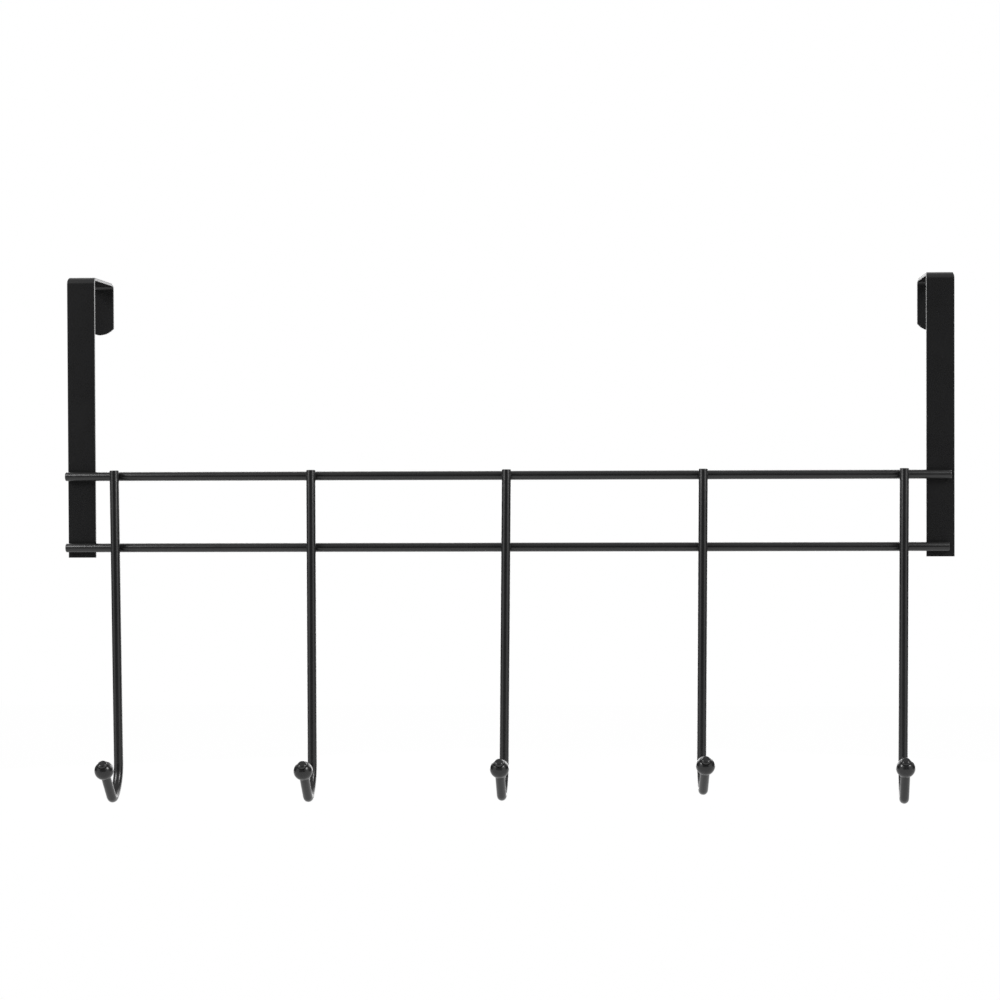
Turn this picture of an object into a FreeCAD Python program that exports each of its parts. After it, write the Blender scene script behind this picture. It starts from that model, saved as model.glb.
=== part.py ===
import FreeCAD, Part
import math
import os

import Sketcher
from FreeCAD import Vector

# Over-door hook rack in coated steel: two strip straps that hang on the top edge of a
# door, two round rails welded across them and five round hook wires with ball tips.
# Frame: +Z up, X along the rails, -Y away from the door. The origin lies midway between
# the straps, at the height of the door's top edge, on the door's front face.

doc = FreeCAD.newDocument("OverDoorHookRack")

# Driving dimensions, in millimetres and degrees
sizes = {
    "door_gap": 40.0,
    "strap_width": 15.7,
    "strap_thick": 1.8,
    "strap_edge": 0.45,
    "strap_spacing": 485.3,
    "bend_outer": 4.0,
    "leg_foot": 5.7,
    "lip_drop": 28.5,
    "lip_rise": 4.1,
    "rail_dia": 5.1,
    "rail_overhang": 0.6,
    "upper_rail_short": 2.1,
    "lower_rail_short": 3.3,
    "rail_drop": 111.4,
    "rail_spacing": 40.4,
    "rail_sink": 0.3,
    "rail_chamfer": 0.35,
    "wire_dia": 5.2,
    "wire_sink": 0.35,
    "wire_chamfer": 0.4,
    "wire_rise": 0.9,
    "hook_inset": 20.85,
    "hook_shift": -0.25,
    "hook_reach": 162.1,
    "hook_sweep": 20.0,
    "hook_sweep_turn": 61.0,
    "hook_toe": 5.0,
    "hook_flare": 41.1,
    "tip_length": 21.1,
    "ball_dia": 10.5,
    "tip_stand": 0.9,
    "tip_round": 1.2,
}

# How each hook wire sits as made and welded: its shift along the rails, its lean from plumb
# (positive moves the ball end to the left), its turn about its own stem, how much shorter
# it is than the longest one and how much wider its front leg stands open
hooks = [
    {"shift": 0.1, "lean": -0.5, "turn": -0.4, "trim": 0.0, "open": -0.3},
    {"shift": 0.65, "lean": 0.0, "turn": 0.0, "trim": 0.6, "open": 1.1},
    {"shift": -0.25, "lean": 0.65, "turn": -0.6, "trim": 1.6, "open": 0.0},
    {"shift": -0.9, "lean": 0.45, "turn": 2.8, "trim": 5.2, "open": 4.8},
    {"shift": 0.0, "lean": 0.3, "turn": -3.65, "trim": 0.6, "open": -5.6},
]
middleHook = (len(hooks) + 1) / 2
for number, hook in enumerate(hooks, start=1):
    for name, value in hook.items():
        sizes[f"hook_{number}_{name}"] = value

sheet = doc.addObject("Spreadsheet::Sheet", "Sizes")
for row, (name, value) in enumerate(sizes.items(), start=1):
    sheet.set(f"A{row}", name)
    sheet.set(f"B{row}", str(value))
    sheet.setAlias(f"B{row}", name)
doc.recompute()


# Sketch helpers
def newBody(label, name):
    body = doc.addObject("PartDesign::Body", name)
    body.Label = label
    return body


def newSketch(body, name, role):
    """A sketch on one of the body's own origin planes."""
    sketch = body.newObject("Sketcher::SketchObject", name)
    plane = next(each for each in body.Origin.OriginFeatures if each.Role == role)
    sketch.AttachmentSupport = (plane, "")
    sketch.MapMode = "FlatFace"
    return sketch


def tie(sketch, kind, *points):
    """A constraint without a size."""
    sketch.addConstraint(Sketcher.Constraint(kind, *points))


def bind(sketch, kind, *points, to):
    """A dimension bound to an expression."""
    index = sketch.addConstraint(Sketcher.Constraint(kind, *points, sketch.evalExpression(to)))
    sketch.setExpression(f"Constraints[{index}]", to)


def line(start, end):
    return Part.LineSegment(Vector(*start, 0), Vector(*end, 0))


def arc(centre, radius, first, last):
    circle = Part.Circle(Vector(*centre, 0), Vector(0, 0, 1), radius)
    return Part.ArcOfCircle(circle, math.radians(first), math.radians(last))


ORIGIN = (-1, 1)
UPRIGHT = -2


def sweep(body, name, profile, path):
    pipe = body.newObject("PartDesign::AdditivePipe", name)
    pipe.Profile = profile
    pipe.Spine = path
    doc.recompute()
    return pipe


def circleEdges(shape, keep):
    """Names of the circular edges whose centre passes the given test."""
    names = []
    for index, edge in enumerate(shape.Edges, start=1):
        if isinstance(edge.Curve, Part.Circle) and keep(edge.Curve.Center):
            names.append(f"Edge{index}")
    return names


# Straps: one strip section swept along the bent path of leg, bridge and lip. The front leg
# ends a foot below the lower rail's axis
bendMiddle = "Sizes.bend_outer - Sizes.strap_thick / 2"
legEnd = "-(Sizes.rail_drop + Sizes.rail_spacing + Sizes.leg_foot)"


def strapPath(body, name):
    sketch = newSketch(body, name + "Path", "YZ_Plane")
    half = sizes["strap_thick"] / 2
    radius = sizes["bend_outer"] - half
    back = sizes["door_gap"] + half
    level = half - radius
    sketch.addGeometry([
        line((-half, sketch.evalExpression(legEnd)), (-half, level)),
        arc((radius - half, level), radius, 90, 180),
        line((radius - half, half), (back - radius, half)),
        arc((back - radius, level), radius, 0, 90),
        line((back, level), (back, -sizes["lip_drop"])),
    ])
    tie(sketch, "Tangent", 0, 2, 1, 2)
    tie(sketch, "Tangent", 1, 1, 2, 1)
    tie(sketch, "Tangent", 2, 2, 3, 2)
    tie(sketch, "Tangent", 3, 1, 4, 1)
    tie(sketch, "Vertical", 0)
    tie(sketch, "Horizontal", 2)
    tie(sketch, "Vertical", 4)
    tie(sketch, "Equal", 1, 3)
    bind(sketch, "Radius", 1, to=bendMiddle)
    bind(sketch, "DistanceX", *ORIGIN, 0, 1, to="-Sizes.strap_thick / 2")
    bind(sketch, "DistanceY", *ORIGIN, 0, 1, to=legEnd)
    bind(sketch, "DistanceY", *ORIGIN, 2, 1, to="Sizes.strap_thick / 2")
    bind(sketch, "DistanceX", 0, 1, 4, 2, to="Sizes.door_gap + Sizes.strap_thick")
    bind(sketch, "DistanceY", *ORIGIN, 4, 2, to="-Sizes.lip_drop")
    return sketch


def stripSection(body, name):
    """The strip's section with its rounded edges, at the foot of the front leg."""
    sketch = newSketch(body, name + "Section", "XY_Plane")
    sketch.setExpression("AttachmentOffset.Base.z", legEnd)
    side = sizes["strap_width"] / 2
    thick = sizes["strap_thick"]
    edge = sizes["strap_edge"]
    sketch.addGeometry([
        line((edge - side, -thick), (side - edge, -thick)),
        arc((side - edge, edge - thick), edge, 270, 360),
        line((side, edge - thick), (side, -edge)),
        arc((side - edge, -edge), edge, 0, 90),
        line((side - edge, 0), (edge - side, 0)),
        arc((edge - side, -edge), edge, 90, 180),
        line((-side, -edge), (-side, edge - thick)),
        arc((edge - side, edge - thick), edge, 180, 270),
    ])
    for number in range(4):
        straight = 2 * number
        corner = straight + 1
        following = (straight + 2) % 8
        tie(sketch, "Tangent", straight, 2, corner, 1)
        tie(sketch, "Tangent", corner, 2, following, 1)
    for number in (0, 4):
        tie(sketch, "Horizontal", number)
        tie(sketch, "Vertical", number + 2)
    for corner in (3, 5, 7):
        tie(sketch, "Equal", 1, corner)
    bind(sketch, "Radius", 1, to="Sizes.strap_edge")
    bind(sketch, "DistanceX", 6, 1, 2, 1, to="Sizes.strap_width")
    bind(sketch, "DistanceY", 0, 1, 4, 1, to="Sizes.strap_thick")
    bind(sketch, "DistanceX", *ORIGIN, 2, 1, to="Sizes.strap_width / 2")
    bind(sketch, "DistanceY", *ORIGIN, 0, 1, to="-Sizes.strap_thick")
    return sketch


def lipEnd(body, name):
    """Cuts the lip's lower end to a shallow arc across the strip."""
    sketch = newSketch(body, name + "LipEnd", "XZ_Plane")
    sketch.setExpression("AttachmentOffset.Base.z", "-Sizes.door_gap / 2")
    side = sizes["strap_width"] / 2
    rise = sizes["lip_rise"]
    radius = (side ** 2 + rise ** 2) / (2 * rise)
    spread = math.degrees(math.asin(side / radius))
    tip = -sizes["lip_drop"]
    shoulder = tip + rise
    floor = tip - rise
    outside = side + rise
    sketch.addGeometry([
        arc((0, tip + radius), radius, 270 - spread, 270 + spread),
        line((side, shoulder), (outside, shoulder)),
        line((outside, shoulder), (outside, floor)),
        line((outside, floor), (-outside, floor)),
        line((-outside, floor), (-outside, shoulder)),
        line((-outside, shoulder), (-side, shoulder)),
    ])
    tie(sketch, "Coincident", 0, 2, 1, 1)
    for number in range(1, 5):
        tie(sketch, "Coincident", number, 2, number + 1, 1)
    tie(sketch, "Coincident", 5, 2, 0, 1)
    tie(sketch, "Symmetric", 0, 1, 0, 2, UPRIGHT)
    for number in (1, 3, 5):
        tie(sketch, "Horizontal", number)
    for number in (2, 4):
        tie(sketch, "Vertical", number)
    tie(sketch, "Equal", 1, 5)
    bind(sketch, "DistanceX", 0, 1, 0, 2, to="Sizes.strap_width")
    bind(sketch, "DistanceY", *ORIGIN, 0, 1, to="Sizes.lip_rise - Sizes.lip_drop")
    bind(sketch, "Radius", 0, to="(Sizes.strap_width ^ 2 / 4 + Sizes.lip_rise ^ 2) / (2 * Sizes.lip_rise)")
    bind(sketch, "DistanceX", 1, 1, 1, 2, to="Sizes.lip_rise")
    bind(sketch, "DistanceY", 2, 2, 2, 1, to="2 * Sizes.lip_rise")
    pocket = body.newObject("PartDesign::Pocket", name + "LipCut")
    pocket.Profile = sketch
    pocket.Type = "ThroughAll"
    doc.recompute()


def makeStrap(label, name, place):
    body = newBody(label, name)
    sweep(body, name + "Strip", stripSection(body, name), strapPath(body, name))
    lipEnd(body, name)
    body.setExpression("Placement.Base.x", place)
    return body


leftStrap = makeStrap("left_strap", "LeftStrap", "-Sizes.strap_spacing / 2")
rightStrap = makeStrap("right_strap", "RightStrap", "Sizes.strap_spacing / 2")

strapPair = doc.addObject("Part::MultiFuse", "StrapPair")
strapPair.Shapes = [leftStrap, rightStrap]


# Rails: round bars seated in the straps' front faces by the depth of the weld. They stand
# out past the left strap by the overhang and stop short of the right strap's outer edge
railDepth = "-(Sizes.strap_thick + Sizes.rail_dia / 2 - Sizes.rail_sink)"


def circleSection(body, name, role, diameter):
    sketch = newSketch(body, name + "Section", role)
    sketch.addGeometry(Part.Circle(Vector(0, 0, 0), Vector(0, 0, 1), sketch.evalExpression(diameter) / 2))
    tie(sketch, "Coincident", 0, 3, *ORIGIN)
    bind(sketch, "Diameter", 0, to=diameter)
    return sketch


def chamferEnds(body, name, feature, edges, amount):
    chamfer = body.newObject("PartDesign::Chamfer", name + "Chamfer")
    chamfer.Base = (feature, edges)
    chamfer.setExpression("Size", amount)
    doc.recompute()
    return chamfer


def railBar(name, short, height):
    body = newBody(name, name)
    pad = body.newObject("PartDesign::Pad", name + "Pad")
    pad.Profile = circleSection(body, name, "YZ_Plane", "Sizes.rail_dia")
    pad.SideType = "Symmetric"
    pad.setExpression("Length", f"Sizes.strap_spacing + Sizes.strap_width + Sizes.rail_overhang - {short}")
    doc.recompute()
    chamferEnds(body, name, pad, circleEdges(pad.Shape, lambda centre: True), "Sizes.rail_chamfer")
    body.setExpression("Placement.Base.x", f"-(Sizes.rail_overhang + {short}) / 2")
    body.setExpression("Placement.Base.y", railDepth)
    body.setExpression("Placement.Base.z", height)
    return body


def cutPiece(label, name, base, tool):
    cut = doc.addObject("Part::Cut", name)
    cut.Label = label
    cut.Base = base
    cut.Tool = tool
    return cut


upperBar = railBar("UpperBar", "Sizes.upper_rail_short", "-Sizes.rail_drop")
lowerBar = railBar("LowerBar", "Sizes.lower_rail_short", "-Sizes.rail_drop - Sizes.rail_spacing")
upperRail = cutPiece("upper_rail", "UpperRail", upperBar, strapPair)
lowerRail = cutPiece("lower_rail", "LowerRail", lowerBar, strapPair)

barPair = doc.addObject("Part::MultiFuse", "BarPair")
barPair.Shapes = [upperBar, lowerBar]


# Hook wires: evenly spaced, the outer ones set in from the straps' middles. A hook's
# local origin lies on its stem's axis, midway between the rails
hookPitch = f"(Sizes.strap_spacing - 2 * Sizes.hook_inset) / {len(hooks) - 1}"
wireDepth = f"{railDepth} - Sizes.rail_dia / 2 - Sizes.wire_dia / 2 + Sizes.wire_sink"
hookHeight = "-(Sizes.rail_drop + Sizes.rail_spacing / 2)"
stemTop = "Sizes.rail_spacing / 2 + Sizes.rail_dia / 2 + Sizes.wire_rise"
tipEnd = "Sizes.tip_length + Sizes.ball_dia / 2 + Sizes.tip_stand"


def flare(number):
    """Angle between the front leg and plumb."""
    return f"(Sizes.hook_flare + Sizes.hook_{number}_open)"


def toeLevel(number):
    """Height of the toe arc's centre above the hook's local origin."""
    return f"Sizes.hook_toe + Sizes.wire_dia / 2 + Sizes.hook_{number}_trim - Sizes.hook_reach"


def hookPath(body, name, number):
    """Stem, a long sweep forward, the tight toe arc and the straight front leg."""
    sketch = newSketch(body, name + "Path", "YZ_Plane")
    top = sketch.evalExpression(stemTop)
    level = sketch.evalExpression(toeLevel(number))
    reach = sketch.evalExpression(tipEnd)
    sweepRadius = sizes["hook_sweep"]
    toeRadius = sizes["hook_toe"]
    turn = math.radians(sizes["hook_sweep_turn"])
    legAngle = sketch.evalExpression(flare(number))
    lean = math.radians(legAngle)
    toe = ((sweepRadius - toeRadius) * math.cos(turn) - sweepRadius, level)
    sweepLevel = level + (sweepRadius - toeRadius) * math.sin(turn)
    foot = (toe[0] - toeRadius * math.cos(lean), level - toeRadius * math.sin(lean))
    tip = (foot[0] - reach * math.sin(lean), foot[1] + reach * math.cos(lean))
    sketch.addGeometry([
        line((0, top), (0, sweepLevel)),
        arc((-sweepRadius, sweepLevel), sweepRadius, 360 - sizes["hook_sweep_turn"], 360),
        arc(toe, toeRadius, 180 + legAngle, 360 - sizes["hook_sweep_turn"]),
        line(foot, tip),
    ])
    tie(sketch, "Tangent", 0, 2, 1, 2)
    tie(sketch, "Tangent", 1, 1, 2, 2)
    tie(sketch, "Tangent", 2, 1, 3, 1)
    tie(sketch, "Vertical", 0)
    tie(sketch, "PointOnObject", 0, 1, UPRIGHT)
    bind(sketch, "DistanceY", *ORIGIN, 0, 1, to=stemTop)
    bind(sketch, "DistanceY", *ORIGIN, 2, 3, to=toeLevel(number))
    bind(sketch, "Radius", 1, to="Sizes.hook_sweep")
    bind(sketch, "Radius", 2, to="Sizes.hook_toe")
    bind(sketch, "DistanceY", 1, 1, 1, 3, to="Sizes.hook_sweep * sin(Sizes.hook_sweep_turn)")
    bind(sketch, "Distance", 3, to=tipEnd)
    bind(sketch, "DistanceX", 3, 2, 3, 1, to=f"({tipEnd}) * sin({flare(number)})")
    return sketch


def wireBar(number):
    name = f"HookBar{number}"
    body = newBody(name, name)
    section = circleSection(body, name, "XY_Plane", "Sizes.wire_dia")
    section.setExpression("AttachmentOffset.Base.z", stemTop)
    wire = sweep(body, name + "Wire", section, hookPath(body, name, number))
    tops = circleEdges(wire.Shape, lambda centre: centre.z > 0)
    chamfer = chamferEnds(body, name, wire, tops, "Sizes.wire_chamfer")
    front = min(vertex.Y for vertex in chamfer.Shape.Vertexes)
    rounding = body.newObject("PartDesign::Fillet", name + "Tip")
    rounding.Base = (chamfer, circleEdges(chamfer.Shape, lambda centre: centre.y < front / 2))
    rounding.setExpression("Radius", "Sizes.tip_round")
    doc.recompute()
    steps = number - middleHook
    body.setExpression("Placement.Base.x",
                       f"Sizes.hook_shift + Sizes.hook_{number}_shift + {steps} * {hookPitch}")
    body.setExpression("Placement.Base.y", wireDepth)
    body.setExpression("Placement.Base.z", hookHeight)
    body.setExpression("Placement.Rotation.Yaw", f"Sizes.hook_{number}_turn")
    body.setExpression("Placement.Rotation.Pitch", f"Sizes.hook_{number}_lean")
    return body


# Balls: turned and drilled through, so that the wire's rounded tip stands out on top
def makeBall(number, bar):
    name = f"HookBall{number}"
    body = newBody(f"hook_ball_{number}", name)
    sketch = newSketch(body, name + "Section", "XZ_Plane")
    bore = sizes["wire_dia"] / 2
    radius = sizes["ball_dia"] / 2
    spread = math.degrees(math.acos(bore / radius))
    rise = radius * math.sin(math.radians(spread))
    sketch.addGeometry([
        line((bore, -rise), (bore, rise)),
        arc((0, 0), radius, -spread, spread),
    ])
    tie(sketch, "Coincident", 0, 1, 1, 1)
    tie(sketch, "Coincident", 0, 2, 1, 2)
    tie(sketch, "Coincident", 1, 3, *ORIGIN)
    tie(sketch, "Vertical", 0)
    bind(sketch, "DistanceX", *ORIGIN, 0, 1, to="Sizes.wire_dia / 2")
    bind(sketch, "Radius", 1, to="Sizes.ball_dia / 2")
    turned = body.newObject("PartDesign::Revolution", name + "Turned")
    turned.Profile = sketch
    turned.ReferenceAxis = (sketch, ["V_Axis"])
    turned.Angle = 360
    angle = flare(number)
    ahead = ("(Sizes.hook_sweep - Sizes.hook_toe) * cos(Sizes.hook_sweep_turn) - Sizes.hook_sweep"
             f" - Sizes.hook_toe * cos({angle}) - Sizes.tip_length * sin({angle})")
    above = (f"{toeLevel(number)} - Sizes.hook_toe * sin({angle})"
             f" + Sizes.tip_length * cos({angle})")
    seat = f"placement(vector(0; {ahead}; {above}); rotation(vector(1; 0; 0); {angle}))"
    body.setExpression("Placement", f"{bar.Name}.Placement * {seat}")
    return body


hookWires = []
hookBalls = []
for number in range(1, len(hooks) + 1):
    bar = wireBar(number)
    hookWires.append(cutPiece(f"hook_wire_{number}", f"HookWire{number}", bar, barPair))
    hookBalls.append(makeBall(number, bar))

doc.recompute()

# Check every object and every piece, then write one file for each piece
for item in doc.Objects:
    if "Invalid" in item.State or "Error" in item.State:
        raise RuntimeError(f"{item.Label} failed: {item.State}")

pieces = [leftStrap, rightStrap, upperRail, lowerRail] + hookWires + hookBalls
for piece in pieces:
    if piece.Shape.isNull() or not piece.Shape.isValid() or len(piece.Shape.Solids) != 1:
        raise RuntimeError(f"{piece.Label} isn't one valid solid")

os.makedirs("parts", exist_ok=True)
for piece in pieces:
    piece.Shape.exportStep(os.path.join("parts", piece.Label + ".step"))
    print(piece.Label, round(piece.Shape.Volume, 1), "cubic mm")
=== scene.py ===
from math import cos, pi, radians, sin, sqrt

import bpy
from mathutils import Matrix, Vector


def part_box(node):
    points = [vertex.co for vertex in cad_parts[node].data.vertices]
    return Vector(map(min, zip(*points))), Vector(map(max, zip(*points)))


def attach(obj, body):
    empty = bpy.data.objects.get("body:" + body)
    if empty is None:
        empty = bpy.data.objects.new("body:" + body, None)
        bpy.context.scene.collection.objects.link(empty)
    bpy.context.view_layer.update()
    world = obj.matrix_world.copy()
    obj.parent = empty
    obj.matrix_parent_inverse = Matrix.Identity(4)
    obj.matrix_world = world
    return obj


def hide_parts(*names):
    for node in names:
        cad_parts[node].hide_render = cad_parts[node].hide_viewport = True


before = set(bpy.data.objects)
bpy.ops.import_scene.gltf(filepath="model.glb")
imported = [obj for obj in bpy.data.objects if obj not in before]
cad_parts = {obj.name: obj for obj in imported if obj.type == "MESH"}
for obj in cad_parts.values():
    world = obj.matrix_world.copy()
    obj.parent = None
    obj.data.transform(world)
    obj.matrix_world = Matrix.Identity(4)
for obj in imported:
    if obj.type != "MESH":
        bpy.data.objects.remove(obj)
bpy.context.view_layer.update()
print("frame loaded:", len(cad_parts), "pieces")

# how near two points count as one place, in metres
tiny = 1e-6


# editing helpers: everything is picked by place or direction, then shaped by operators
def makeActive(obj):
    if bpy.context.mode != "OBJECT":
        bpy.ops.object.mode_set(mode="OBJECT")
    bpy.ops.object.select_all(action="DESELECT")
    obj.select_set(True)
    bpy.context.view_layer.objects.active = obj


def pick(obj, kind, test):
    # kind is VERT, EDGE or FACE; ends in edit mode with what passes the test selected
    makeActive(obj)
    mesh = obj.data
    for group in (mesh.vertices, mesh.edges, mesh.polygons):
        group.foreach_set("select", [False] * len(group))
    if kind == "FACE":
        for face in mesh.polygons:
            face.select = test(face.center, face.normal)
    elif kind == "EDGE":
        for edge in mesh.edges:
            start, end = (mesh.vertices[index].co for index in edge.vertices)
            edge.select = test(start, end)
    else:
        for vertex in mesh.vertices:
            vertex.select = test(vertex.co)
    bpy.context.tool_settings.mesh_select_mode = [kind == each for each in ("VERT", "EDGE", "FACE")]
    bpy.ops.object.mode_set(mode="EDIT")


def extrudeBy(offset):
    bpy.ops.mesh.extrude_region_move(TRANSFORM_OT_translate={"value": offset})


def bendAround(centre, angle, steps):
    # a bend in the plane of the door's depth and height; a positive angle turns depth to height
    bpy.ops.mesh.spin(steps=steps, angle=-angle, center=centre, axis=(1, 0, 0))


def moveTo(obj, matrix):
    # the move is applied, so the object itself stays at the origin
    obj.matrix_world = matrix
    makeActive(obj)
    bpy.ops.object.transform_apply(location=True, rotation=True, scale=True)


def copyOf(obj):
    twin = obj.copy()
    twin.data = obj.data.copy()
    bpy.context.scene.collection.objects.link(twin)
    return twin


def addModifier(obj, kind, settings):
    makeActive(obj)
    modifier = obj.modifiers.new(kind.title(), kind)
    for name, value in settings.items():
        setattr(modifier, name, value)
    bpy.ops.object.modifier_apply(modifier=modifier.name)


def closeUp(obj, smoothAngle=40):
    # merge doubles, point every face outwards and shade the round stretches smooth
    pick(obj, "VERT", lambda point: True)
    bpy.ops.mesh.remove_doubles(threshold=tiny)
    bpy.ops.mesh.normals_make_consistent(inside=False)
    bpy.ops.object.mode_set(mode="OBJECT")
    bpy.ops.object.shade_smooth_by_angle(angle=radians(smoothAngle))


def handIn(obj, name, slot, finish, *nodes):
    obj.name = name
    obj.data.name = name
    obj.data.materials.clear()
    obj.data.materials.append(finish)
    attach(obj, "root")
    if nodes:
        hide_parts(*nodes)


# camera: the photograph's viewing angle, from a little right of the rack's middle
cameraView = {
    "place": (0.0865, -1.1873, -0.108),
    "lens": 75.83,
    "sensor": 36,
    "turn": 2.209,
    "dip": 0.84,
    "roll": 0.178,
    "shift": -0.08,
}
cameraData = bpy.data.cameras.new("camera")
cameraData.lens = cameraView["lens"]
cameraData.sensor_width = cameraView["sensor"]
cameraData.shift_x = cameraView["shift"]
camera = bpy.data.objects.new("camera", cameraData)
camera.location = cameraView["place"]
camera.rotation_euler = (radians(90 - cameraView["dip"]), radians(cameraView["roll"]),
                         radians(cameraView["turn"]))
bpy.context.scene.collection.objects.link(camera)
bpy.context.scene.camera = camera


# shader maths: a Signal is a socket that can be added, subtracted and multiplied
class Signal:
    def __init__(self, finish, socket):
        self.finish = finish
        self.socket = socket

    def math(self, operation, *others):
        values = dict(enumerate((self,) + others))
        return self.finish.node("ShaderNodeMath", {"operation": operation}, values)

    def __add__(self, other):
        return self.math("ADD", other)

    def __sub__(self, other):
        return self.math("SUBTRACT", other)

    def __rsub__(self, other):
        return self.math("MULTIPLY", -1.0) + other

    def __mul__(self, other):
        return self.math("MULTIPLY", other)

    __radd__ = __add__


class Finish:
    # the node tree of a material or of the world
    def __init__(self, owner):
        owner.use_nodes = True
        self.owner = owner
        self.tree = owner.node_tree
        self.tree.nodes.clear()

    def node(self, kind, settings=None, values=None, output=0):
        made = self.tree.nodes.new(kind)
        for name, value in (settings or {}).items():
            setattr(made, name, value)
        for name, value in (values or {}).items():
            if isinstance(value, Signal):
                self.tree.links.new(value.socket, made.inputs[name])
            else:
                made.inputs[name].default_value = value
        return Signal(self, made.outputs[output]) if len(made.outputs) else None

    def noise(self, point, scale, detail, roughness):
        return self.node("ShaderNodeTexNoise", None,
                         {"Vector": point, "Scale": scale, "Detail": detail, "Roughness": roughness})


# black powder coat: fine orange peel, a grain of small nibs and slow changes of gloss,
# each a noise of scale, detail and roughness; mix is how far slow and nibs change the colour
coats = {
    "satin": {
        "colour": (0.0080, 0.0080, 0.0083), "lift": (0.0110, 0.0110, 0.0114),
        "ior": 1.5, "roughness": 0.28, "drift": 0.08, "grain": 0.05, "mix": (0.55, 0.45),
        "slow": (38, 3.0, 0.55), "peel": (520, 2.0, 0.45), "nibs": (2600, 1.0, 0.5),
        "peelDepth": 0.000016, "nibDepth": 0.000005,
    },
    "ball": {
        "colour": (0.0125, 0.0125, 0.0128), "lift": (0.0170, 0.0170, 0.0174),
        "ior": 1.46, "roughness": 0.22, "drift": 0.04, "grain": 0.03, "mix": (0.55, 0.45),
        "slow": (38, 3.0, 0.55), "peel": (420, 2.0, 0.45), "nibs": (2200, 1.0, 0.5),
        "peelDepth": 0.000012, "nibDepth": 0.000003,
    },
}


def powderCoat(name):
    coat = coats[name]
    finish = Finish(bpy.data.materials.new(name + "PowderCoat"))
    point = finish.node("ShaderNodeTexCoord", output="Object")
    slow, peel, nibs = (finish.noise(point, *coat[kind]) for kind in ("slow", "peel", "nibs"))
    share = slow * coat["mix"][0] + nibs * coat["mix"][1]
    # in a colour mix the inputs 0, 6 and 7 are the factor and both colours
    tone = finish.node("ShaderNodeMix", {"data_type": "RGBA"},
                       {0: share, 6: (*coat["colour"], 1), 7: (*coat["lift"], 1)}, output=2)
    roughness = coat["roughness"] + (slow - 0.5) * coat["drift"] + (nibs - 0.5) * coat["grain"]
    height = peel * coat["peelDepth"] + nibs * coat["nibDepth"]
    bump = finish.node("ShaderNodeBump", None, {"Height": height, "Distance": 1.0, "Strength": 1.0})
    shader = finish.node("ShaderNodeBsdfPrincipled", None,
                         {"Base Color": tone, "Roughness": roughness, "Normal": bump, "IOR": coat["ior"]})
    finish.node("ShaderNodeOutputMaterial", None, {"Surface": shader})
    return finish.owner


satinCoat = powderCoat("satin")
ballCoat = powderCoat("ball")
print("finishes made")


# straps: a plane of the strip's section, drawn up the leg, over the door and down the lip
strap = {
    "edge": 0.00045, "edgeSteps": 4, "bendOuter": 0.004, "bendSteps": 14,
    "lipDrop": 0.0285, "lipRise": 0.0041, "lipCuts": 18,
    "burr": 0.0003, "burrSteps": 2, "burrAngle": 50, "normalWeight": 90,
    # distance below the top, and the share of the width that is left above it
    "drawnIn": ((0.0021, 0.985), (0.0010, 0.975)),
}


def makeStrap(name):
    low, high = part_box(name)
    thick = -low.y
    width = high.x - low.x
    middle = (low.x + high.x) / 2
    radius = strap["bendOuter"]
    bendLevel = high.z - radius
    bpy.ops.mesh.primitive_plane_add(size=1)
    obj = bpy.context.object
    moveTo(obj, Matrix.Translation((middle, -thick / 2, low.z)) @ Matrix.Diagonal((width, thick, 1, 1)))
    pick(obj, "VERT", lambda point: True)
    bpy.ops.mesh.bevel(offset=strap["edge"], segments=strap["edgeSteps"], affect="VERTICES")
    bpy.ops.mesh.select_all(action="SELECT")
    extrudeBy((0, 0, bendLevel - low.z))
    bendAround((middle, radius - thick, bendLevel), -pi / 2, strap["bendSteps"])
    extrudeBy((0, high.y - 2 * radius + thick, 0))
    bendAround((middle, high.y - radius, bendLevel), -pi / 2, strap["bendSteps"])
    extrudeBy((0, 0, -strap["lipDrop"] - bendLevel))
    roundLip(obj, middle, width / 2, high.y - thick * 2)
    closeUp(obj)
    drawInBends(obj, middle, high.z)
    addModifier(obj, "BEVEL", {"width": strap["burr"], "segments": strap["burrSteps"],
                               "angle_limit": radians(strap["burrAngle"])})
    addModifier(obj, "WEIGHTED_NORMAL", {"keep_sharp": True, "weight": strap["normalWeight"]})
    return obj


def drawInBends(obj, middle, top):
    # a strip gets a little narrower over the outside of a tight bend
    for level, share in strap["drawnIn"]:
        pick(obj, "VERT", lambda point: point.z > top - level)
        bpy.ops.transform.resize(value=(share, 1, 1), center_override=(middle, 0, 0))
    bpy.ops.object.mode_set(mode="OBJECT")


def roundLip(obj, middle, half, front):
    # the lip's end is cut round by a fan of straight cuts, each a tangent of the arc
    rise = strap["lipRise"]
    radius = (half * half + rise * rise) / (2 * rise)
    for index in range(strap["lipCuts"]):
        side = ((index + 0.5) / strap["lipCuts"] * 2 - 1) * half / radius
        down = sqrt(1 - side * side)
        point = (middle + radius * side, 0, radius - strap["lipDrop"] - radius * down)
        pick(obj, "FACE", lambda centre, normal: centre.y > front and centre.z < -strap["bendOuter"])
        bpy.ops.mesh.bisect(plane_co=point, plane_no=(side, 0, -down), clear_outer=True, use_fill=True)


for strapName in ("left_strap", "right_strap"):
    handIn(makeStrap(strapName), strapName.replace("_", "-"), "black_coat", satinCoat, strapName)
print("straps made")


# rails: round bar across both straps, its cut ends dressed
rail = {"sides": 56, "endRound": 0.00045, "endSteps": 3, "smoothAngle": 32}


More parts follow.
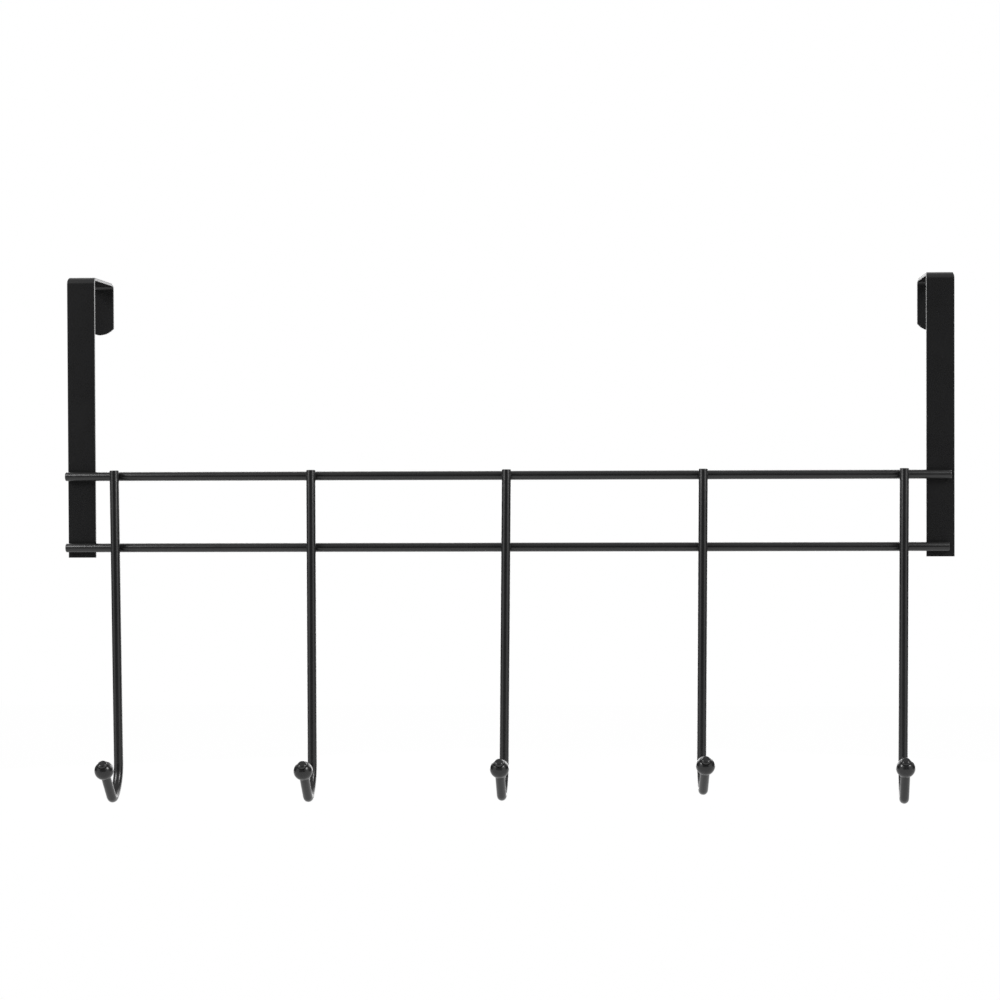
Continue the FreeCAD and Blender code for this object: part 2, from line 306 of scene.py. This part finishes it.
def makeRail(name):
    low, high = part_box(name)
    centre = (low + high) / 2
    bpy.ops.mesh.primitive_cylinder_add(vertices=rail["sides"], radius=(high.z - low.z) / 2,
                                        depth=high.x - low.x)
    obj = bpy.context.object
    moveTo(obj, Matrix.Translation(centre) @ Matrix.Rotation(pi / 2, 4, "Y"))
    for end in (low.x, high.x):
        pick(obj, "EDGE", lambda start, stop: max(abs(start.x - end), abs(stop.x - end)) < tiny)
        bpy.ops.mesh.bevel(offset=rail["endRound"], segments=rail["endSteps"], affect="EDGES")
    closeUp(obj, rail["smoothAngle"])
    return obj


for railName in ("upper_rail", "lower_rail"):
    handIn(makeRail(railName), railName.replace("_", "-"), "black_coat", satinCoat, railName)
print("rails made")


# hooks: five wires of one pattern, each bent and set a little differently, and one ball copied
# pivot is the height of the point a hook leans about; top and reach are measured from it
hook = {
    "radius": 0.0026, "sides": 40, "depth": -0.00885, "pivot": -0.1316, "top": 0.02365,
    "first": -0.22205, "pitch": 0.1109, "reach": 0.1621, "sweep": 0.020, "sweepTurn": 61.0,
    "sweepSteps": 30, "toe": 0.005, "toeSteps": 26, "flare": 41.1, "toBall": 0.0211,
    "stand": 0.0009, "tipRound": 0.0012, "tipSteps": 6, "topRound": 0.0004, "topSteps": 3,
}
# shift along the rails, lean to the side, turn about the stem, trim of the length, opening
hookPlaces = (
    {"shift": 0.0001, "lean": -0.5, "turn": -0.4, "trim": 0.0, "open": -0.3},
    {"shift": 0.00065, "lean": 0.0, "turn": 0.0, "trim": 0.0006, "open": 1.1},
    {"shift": -0.00025, "lean": 0.65, "turn": -0.6, "trim": 0.0016, "open": 0.0},
    {"shift": -0.0009, "lean": 0.45, "turn": 2.8, "trim": 0.0052, "open": 4.8},
    {"shift": 0.0, "lean": 0.3, "turn": -3.65, "trim": 0.0006, "open": -5.6},
)
ball = {
    "radius": 0.00525, "sides": 48, "rings": 32,
    # radius and height of the coating's collar round the wire, from the ball outwards
    "mouth": 0.0029, "collar": ((0.00275, 0.00008), (0.00266, 0.00020), (0.00262, 0.00036)),
    "bore": 0.00256,
}
sweepTurn = radians(hook["sweepTurn"])
toeDepth = (hook["sweep"] - hook["toe"]) * cos(sweepTurn) - hook["sweep"]


def toeLevel(place):
    return hook["toe"] + hook["radius"] + place["trim"] - hook["reach"]


def makeHookWire(place):
    # down the stem, a long sweep forward, the tight toe and up the straight front leg
    flare = radians(hook["flare"] + place["open"])
    level = toeLevel(place)
    sweepLevel = level + (hook["sweep"] - hook["toe"]) * sin(sweepTurn)
    bpy.ops.mesh.primitive_circle_add(vertices=hook["sides"], radius=hook["radius"], fill_type="NGON")
    obj = bpy.context.object
    moveTo(obj, Matrix.Translation((0, 0, hook["top"])))
    pick(obj, "FACE", lambda centre, normal: True)
    extrudeBy((0, 0, sweepLevel - hook["top"]))
    bendAround((0, -hook["sweep"], sweepLevel), -sweepTurn, hook["sweepSteps"])
    bendAround((0, toeDepth, level), flare + sweepTurn - pi, hook["toeSteps"])
    rise = hook["toBall"] + ball["radius"] + hook["stand"]
    extrudeBy((0, -rise * sin(flare), rise * cos(flare)))
    bpy.ops.mesh.region_to_loop()
    bpy.ops.mesh.bevel(offset=hook["tipRound"], segments=hook["tipSteps"], affect="EDGES")
    pick(obj, "EDGE", lambda start, end: min(start.z, end.z) > hook["top"] - tiny)
    bpy.ops.mesh.bevel(offset=hook["topRound"], segments=hook["topSteps"], affect="EDGES")
    closeUp(obj)
    return obj


def makeBall():
    bpy.ops.mesh.primitive_uv_sphere_add(segments=ball["sides"], ring_count=ball["rings"],
                                         radius=ball["radius"])
    obj = bpy.context.object
    level = sqrt(ball["radius"] ** 2 - ball["mouth"] ** 2)
    for way in (1, -1):
        pick(obj, "FACE", lambda centre, normal: True)
        bpy.ops.mesh.bisect(plane_co=(0, 0, way * level), plane_no=(0, 0, way), clear_outer=True)
    for way in (1, -1):
        pick(obj, "EDGE", lambda start, end: min(start.z * way, end.z * way) > level - tiny)
        width, height = ball["mouth"], 0
        for nextWidth, nextHeight in ball["collar"] + ((ball["bore"], ball["collar"][-1][1]),):
            extrudeBy((0, 0, way * (nextHeight - height)))
            bpy.ops.transform.resize(value=(nextWidth / width, nextWidth / width, 1),
                                     center_override=(0, 0, 0))
            width, height = nextWidth, nextHeight
    pick(obj, "EDGE", lambda start, end: max(start.xy.length, end.xy.length) < ball["bore"] + tiny)
    bpy.ops.mesh.bridge_edge_loops()
    closeUp(obj)
    return obj


def ballSeat(place):
    # on the front leg, square to it
    flare = radians(hook["flare"] + place["open"])
    foot = Vector((0, toeDepth - hook["toe"] * cos(flare), toeLevel(place) - hook["toe"] * sin(flare)))
    centre = foot + hook["toBall"] * Vector((0, -sin(flare), cos(flare)))
    return Matrix.Translation(centre) @ Matrix.Rotation(flare, 4, "X")


def hookPlace(index):
    place = hookPlaces[index]
    stem = (hook["first"] + place["shift"] + index * hook["pitch"], hook["depth"], hook["pivot"])
    return (Matrix.Translation(stem) @ Matrix.Rotation(radians(place["turn"]), 4, "Z")
            @ Matrix.Rotation(radians(place["lean"]), 4, "Y"))


ballModel = makeBall()
for index, place in enumerate(hookPlaces):
    wireName, ballName = f"hook_wire_{index + 1}", f"hook_ball_{index + 1}"
    wire = makeHookWire(place)
    moveTo(wire, hookPlace(index))
    handIn(wire, wireName.replace("_", "-"), "black_coat", satinCoat, wireName)
    bead = copyOf(ballModel)
    moveTo(bead, hookPlace(index) @ ballSeat(place))
    handIn(bead, ballName.replace("_", "-"), "ball_coat", ballCoat, ballName)
bpy.data.objects.remove(ballModel)
print("hooks made")


# welds: short stubs of both bars, fused and relaxed, so that the coat runs round in the corner
# belowTop is from the wire's top; a seat ends pastStrap or railEnd, whichever comes first
weld = {
    "stub": 0.0105, "sides": 64, "inside": 0.00003, "voxel": 0.0002, "relax": 30, "pull": 0.5,
    "belowTop": 0.0007, "pastStrap": 0.0008, "railEnd": 0.0006, "slabLess": 0.0002,
}


def relaxed(stubs):
    makeActive(stubs[0])
    for stub in stubs:
        stub.select_set(True)
    bpy.ops.object.join()
    obj = bpy.context.object
    moveTo(obj, Matrix())
    addModifier(obj, "REMESH", {"mode": "VOXEL", "voxel_size": weld["voxel"]})
    addModifier(obj, "SMOOTH", {"factor": weld["pull"], "iterations": weld["relax"]})
    bpy.ops.object.shade_smooth()
    return obj


def stubBar(centre, radius, length, turned):
    bpy.ops.mesh.primitive_cylinder_add(vertices=weld["sides"], radius=radius - weld["inside"],
                                        depth=length)
    obj = bpy.context.object
    turn = Matrix.Rotation(pi / 2, 4, "Y") if turned else Matrix()
    moveTo(obj, Matrix.Translation(centre) @ turn)
    return obj


railLow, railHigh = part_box("upper_rail")
railRadius = (railHigh.z - railLow.z) / 2
railDepth = (railHigh.y + railLow.y) / 2
for railName in ("upper_rail", "lower_rail"):
    low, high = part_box(railName)
    level = (low.z + high.z) / 2
    # the upper stub ends below the wire's own top
    top = min(weld["stub"] / 2, hook["pivot"] + hook["top"] - level - weld["belowTop"])
    bottom = -weld["stub"] / 2
    crossing = relaxed([
        stubBar((0, hook["depth"], (top + bottom) / 2), hook["radius"], top - bottom, False),
        stubBar((0, railDepth, 0), railRadius, weld["stub"], True),
    ])
    for index in range(len(hookPlaces)):
        obj = copyOf(crossing)
        stem = hookPlace(index) @ Vector((0, 0, level - hook["pivot"]))
        moveTo(obj, Matrix.Translation((stem.x, 0, level)))
        handIn(obj, f"weld-{index + 1}-{railName[:5]}", "black_coat", satinCoat)
    bpy.data.objects.remove(crossing)


def makeSeat(strapName, railName):
    # the rail's seat on the flat strap, no further than either end of the rail
    strapLow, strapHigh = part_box(strapName)
    low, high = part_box(railName)
    left = max(strapLow.x - weld["pastStrap"], low.x + weld["railEnd"])
    right = min(strapHigh.x + weld["pastStrap"], high.x - weld["railEnd"])
    level = (low.z + high.z) / 2
    bar = stubBar(((left + right) / 2, railDepth, level), railRadius, right - left, True)
    bpy.ops.mesh.primitive_cube_add(size=1)
    slab = bpy.context.object
    width = strapHigh.x - strapLow.x - weld["slabLess"]
    thick = -strapLow.y - 2 * weld["inside"]
    middle = ((strapLow.x + strapHigh.x) / 2, strapLow.y / 2, level)
    moveTo(slab, Matrix.Translation(middle) @ Matrix.Diagonal((width, thick, weld["stub"], 1)))
    return relaxed([bar, slab])


for strapName in ("left_strap", "right_strap"):
    for railName in ("upper_rail", "lower_rail"):
        seatName = f"seat-{strapName.split('_')[0]}-{railName[:5]}"
        handIn(makeSeat(strapName, railName), seatName, "black_coat", satinCoat)
print("welds made")


# studio: white floor and surround, soft boxes in front, edge lights and rim lights behind
studio = {
    "floorLevel": -0.5, "floorSize": (4.0, 3.6), "floorMiddle": (0, 0.5), "floorShare": 0.99,
    "floorColour": (0.86, 0.86, 0.86, 1), "aim": (0, 0, -0.15), "ambient": 0.46,
    # strengths of the surround where the coat mirrors it
    "behind": 1.0, "side": 0.01, "panel": 1.2, "panelHigh": 0.65,
    "above": 0.55, "highBehind": 0.75, "lowFront": 0.12,
    # direction from the rack in degrees, distance, width, height and power of each pair
    "softBox": {"azimuth": 58, "height": 29, "distance": 1.4, "size": (0.38, 0.46), "power": 9},
    "edgeLight": {"azimuth": 161, "height": 2, "distance": 1.7, "size": (0.85, 1.0), "power": 7},
    "rimLight": {"azimuth": 140, "height": 24, "distance": 1.7, "size": (0.6, 0.5), "power": 4},
}
# where each part of the mirrored surround fades: depth is -1 in front and 1 behind, up is 1 above
fades = {
    "behindDepth": (0.78, 0.90), "panelFront": (-0.84, -0.73), "panelBack": (-0.25, 0.0),
    "panelMiddle": (-0.1, 0.15), "panelTop": (0.45, 0.75), "aboveUp": (0.25, 1.0),
    "highUp": (0.10, 0.45), "highDepth": (0.1, 0.55), "lowUp": (-0.14, 0.0), "lowDepth": (-0.9, -0.7),
}


def seenWhite(finish, share):
    # the share where the camera or a reflection looks straight at the floor, or else 0
    ways = [finish.node("ShaderNodeLightPath", output=f"Is {name} Ray")
            for name in ("Camera", "Glossy", "Transmission")]
    return (ways[0] + ways[1] + ways[2]).math("MINIMUM", 1.0) * share


bpy.ops.mesh.primitive_plane_add(size=1)
floor = bpy.context.object
floor.name = "floor"
floorPlace = (*studio["floorMiddle"], studio["floorLevel"])
moveTo(floor, Matrix.Translation(floorPlace) @ Matrix.Diagonal((*studio["floorSize"], 1, 1)))
paper = Finish(bpy.data.materials.new("floorPaper"))
matt = paper.node("ShaderNodeBsdfDiffuse", None, {"Color": studio["floorColour"]})
glow = paper.node("ShaderNodeEmission", None, {"Color": (1, 1, 1, 1), "Strength": 1.0})
share = seenWhite(paper, studio["floorShare"])
mixed = paper.node("ShaderNodeMixShader", None, {0: share, 1: matt, 2: glow})
paper.node("ShaderNodeOutputMaterial", None, {"Surface": mixed})
floor.data.materials.append(paper.owner)

world = Finish(bpy.data.worlds.new("world"))
bpy.context.scene.world = world.owner
direction = world.node("ShaderNodeTexCoord", output="Generated")
depth, up = (world.node("ShaderNodeSeparateXYZ", None, {"Vector": direction}, output=axis)
             for axis in ("Y", "Z"))


def fade(value, span, before, after):
    start, end = fades[span]
    settings = {"Value": value, "From Min": start, "From Max": end, "To Min": before, "To Max": after}
    return world.node("ShaderNodeMapRange", {"interpolation_type": "SMOOTHSTEP"}, settings)


backWhite = fade(depth, "behindDepth", studio["side"], studio["behind"])
sidePanel = (fade(depth, "panelFront", 0.0, studio["panel"]) * fade(depth, "panelBack", 1.0, 0.0)
             * fade(up, "panelMiddle", 1.0, studio["panelHigh"]) * fade(up, "panelTop", 1.0, 0.0))
topLift = (fade(up, "aboveUp", 0.0, studio["above"])
           + fade(up, "highUp", 0.0, studio["highBehind"]) * fade(depth, "highDepth", 0.0, 1.0))
lowGlow = fade(up, "lowUp", studio["lowFront"], 0.0) * fade(depth, "lowDepth", 1.0, 0.0)
reflected = (backWhite + sidePanel + topLift + lowGlow).math("MINIMUM", 1.0)
isGlossy = world.node("ShaderNodeLightPath", output="Is Glossy Ray")
isSeen = (world.node("ShaderNodeLightPath", output="Is Camera Ray")
          + world.node("ShaderNodeLightPath", output="Is Transmission Ray")).math("MINIMUM", 1.0)
isOther = (1 - isSeen - isGlossy).math("MAXIMUM", 0.0)
strength = isSeen + isGlossy * reflected + isOther * studio["ambient"]
surround = world.node("ShaderNodeBackground", None, {"Color": (1, 1, 1, 1), "Strength": strength})
world.node("ShaderNodeOutputWorld", None, {"Surface": surround})


def setLamps(name):
    lamps = studio[name]
    height = radians(lamps["height"])
    for side in (-1, 1):
        azimuth = radians(lamps["azimuth"]) * side
        towards = Vector((sin(azimuth) * cos(height), -cos(azimuth) * cos(height), sin(height)))
        lampData = bpy.data.lights.new(name, "AREA")
        lampData.shape = "RECTANGLE"
        lampData.size, lampData.size_y = lamps["size"]
        lampData.energy = lamps["power"]
        lamp = bpy.data.objects.new(name, lampData)
        lamp.location = Vector(studio["aim"]) + towards * lamps["distance"]
        lamp.rotation_euler = towards.to_track_quat("Z", "Y").to_euler()
        lamp.visible_camera = False
        bpy.context.scene.collection.objects.link(lamp)


for lampName in ("softBox", "edgeLight", "rimLight"):
    setLamps(lampName)

bpy.context.scene.view_settings.view_transform = "Standard"
print("studio set")
